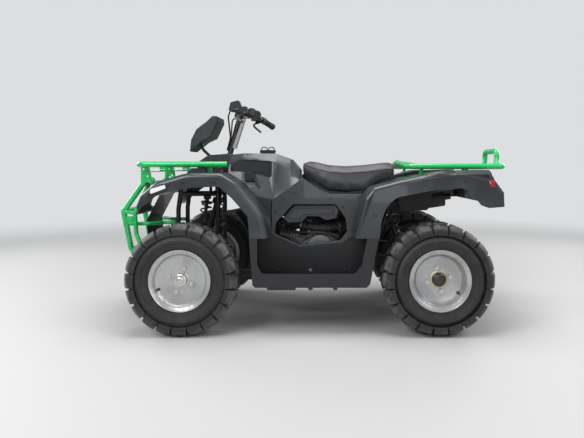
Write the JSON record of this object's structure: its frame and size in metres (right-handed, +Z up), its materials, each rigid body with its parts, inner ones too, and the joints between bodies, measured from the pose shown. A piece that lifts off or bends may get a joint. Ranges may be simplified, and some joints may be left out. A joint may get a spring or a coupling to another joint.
{
  "type": "quad bike",
  "caption": "Utility quad bike with green front and rear racks and front guard, grey plastic body, turning handlebar, steered front wheels and driven rear wheels",
  "frame": {"origin": "on the ground, below the middle of the machine's outer box", "axes": "+Z up; the front of the machine faces -X and its left side faces -Y, towards the camera of the picture"},
  "size_m": [1.99, 1.06, 1.1476],
  "materials": {
    "black_frame": "satin",
    "body_grey": "satin",
    "dark_plastic": "matte",
    "engine_metal": "satin",
    "green": "gloss",
    "grip_rubber": "matte",
    "lamp_red": "gloss",
    "lamp_white": "gloss",
    "rim": "satin",
    "seat_vinyl": "satin",
    "steel": "satin",
    "tyre": "matte"
  },
  "bodies": {
    "chassis": {"airbox_cover": "body_grey", "drive_chain": "steel", "engine": "engine_metal", "exhaust": "black_frame", "footboard_left": "dark_plastic", "footboard_right": "dark_plastic", "front_bumper": "green", "front_cowl": "body_grey", "front_damper_left": "black_frame", "front_damper_right": "black_frame", "front_fender_left": "body_grey", "front_fender_right": "body_grey", "front_rack": "green", "front_subframe": "black_frame", "fuel_cap": "dark_plastic", "gear_lever": "black_frame", "headlamp_lens": "lamp_white", "headlamp_pod": "body_grey", "inner_guards": "dark_plastic", "lower_frame": "black_frame", "marker_lamps": "lamp_white", "rear_box": "dark_plastic", "rear_damper": "black_frame", "rear_deck": "body_grey", "rear_fender_left": "body_grey", "rear_fender_right": "body_grey", "rear_rack": "green", "seat": "seat_vinyl", "side_panel_left": "body_grey", "side_panel_right": "body_grey", "swingarm": "black_frame", "tail_lamps": "lamp_red", "tank_cover": "body_grey", "upper_frame": "black_frame", "wishbones_left": "black_frame", "wishbones_right": "black_frame"},
    "steering": {"steering_column": "black_frame", "handlebar": "black_frame", "grips": "grip_rubber", "levers": "dark_plastic", "instrument": "dark_plastic", "control_hoses": "grip_rubber"},
    "knuckle_body_left": {"knuckle_left": "steel"},
    "tie_rod_body_left": {"tie_rod_left": "steel"},
    "front_wheel_left": {"front_tyre_left": "tyre", "front_rim_left": "rim", "front_hub_left": "steel"},
    "knuckle_body_right": {"knuckle_right": "steel"},
    "tie_rod_body_right": {"tie_rod_right": "steel"},
    "front_wheel_right": {"front_tyre_right": "tyre", "front_rim_right": "rim", "front_hub_right": "steel"},
    "rear_wheels": {"rear_axle": "steel", "rear_tyre_left": "tyre", "rear_tyre_right": "tyre", "rear_rim_left": "rim", "rear_rim_right": "rim"}
  },
  "joints": [
    {"name": "steer", "type": "hinge", "parent": "chassis", "child": "steering", "pos_m": [-0.611, 0, 0.272], "axis": [0.2588, 0, 0.9659], "range_deg": [-30, 30]},
    {"name": "kingpin_left", "type": "hinge", "parent": "chassis", "child": "knuckle_body_left", "pos_m": [-0.6, -0.365, 0.26], "axis": [0, 0, 1], "range_deg": [-30, 30]},
    {"name": "track_rod_pin_left", "type": "hinge", "parent": "steering", "child": "tie_rod_body_left", "pos_m": [-0.67378, -0.025, 0.28882], "axis": [0.2588, 0, 0.9659], "range_deg": [-30, 30]},
    {"name": "front_spin_left", "type": "hinge", "parent": "knuckle_body_left", "child": "front_wheel_left", "pos_m": [-0.6, -0.44, 0.26], "axis": [0, 1, 0], "continuous": true},
    {"name": "kingpin_right", "type": "hinge", "parent": "chassis", "child": "knuckle_body_right", "pos_m": [-0.6, 0.365, 0.26], "axis": [0, 0, 1], "range_deg": [-30, 30]},
    {"name": "track_rod_pin_right", "type": "hinge", "parent": "steering", "child": "tie_rod_body_right", "pos_m": [-0.67378, 0.025, 0.28882], "axis": [0.2588, 0, 0.9659], "range_deg": [-30, 30]},
    {"name": "front_spin_right", "type": "hinge", "parent": "knuckle_body_right", "child": "front_wheel_right", "pos_m": [-0.6, 0.44, 0.26], "axis": [0, 1, 0], "continuous": true},
    {"name": "rear_spin", "type": "hinge", "parent": "chassis", "child": "rear_wheels", "pos_m": [0.6, 0, 0.26], "axis": [0, 1, 0], "continuous": true}
  ],
  "couplings": [
    {"joint": "kingpin_left", "follows": "steer", "ratio": 1},
    {"joint": "track_rod_pin_left", "follows": "steer", "ratio": -1},
    {"joint": "kingpin_right", "follows": "steer", "ratio": 1},
    {"joint": "track_rod_pin_right", "follows": "steer", "ratio": -1}
  ]
}
